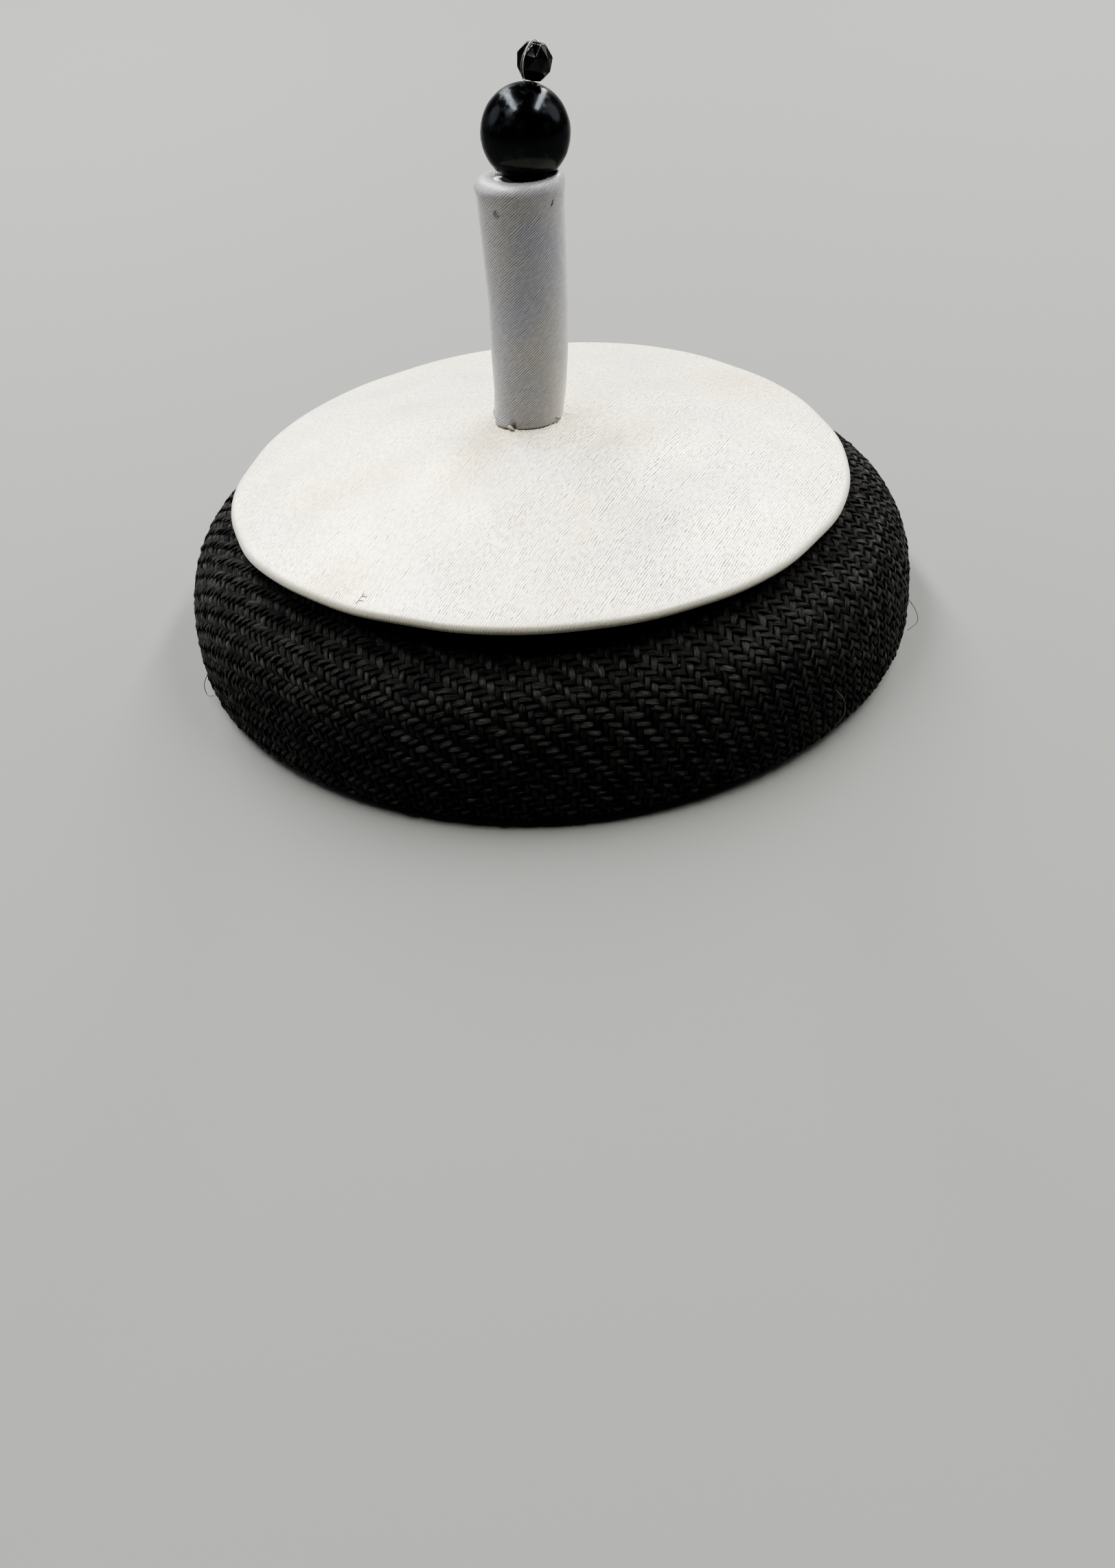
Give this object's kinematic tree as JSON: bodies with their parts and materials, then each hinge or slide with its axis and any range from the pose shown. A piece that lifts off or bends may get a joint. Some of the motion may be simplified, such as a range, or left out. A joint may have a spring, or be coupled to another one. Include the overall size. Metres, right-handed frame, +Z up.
{
  "type": "button hat",
  "caption": "Low round straw hat with a satin-covered disc on top like a button's face, a satin stem in its middle and black beads threaded on the stem.",
  "frame": {"origin": "middle of the flat ring of the hem, on the surface that the hat rests on", "axes": "+Z up the crown's axis, -Y towards the hat's front as pictured, +X to the right seen from the front"},
  "size_m": [0.154, 0.154, 0.1103],
  "materials": {
    "straw": "black woven straw, soft gloss on each strand",
    "satin": "ivory white satin, fine slanting threads",
    "bead_gloss": "glossy black",
    "bead_cut_glass": "black faceted glass, fire polished",
    "thread": "dark sewing thread"
  },
  "bodies": {
    "root": {"crown": "straw", "top_disc": "satin", "stem": "satin", "round_bead": "bead_gloss", "faceted_bead": "bead_cut_glass", "bead_thread": "thread"}
  },
  "joints": []
}
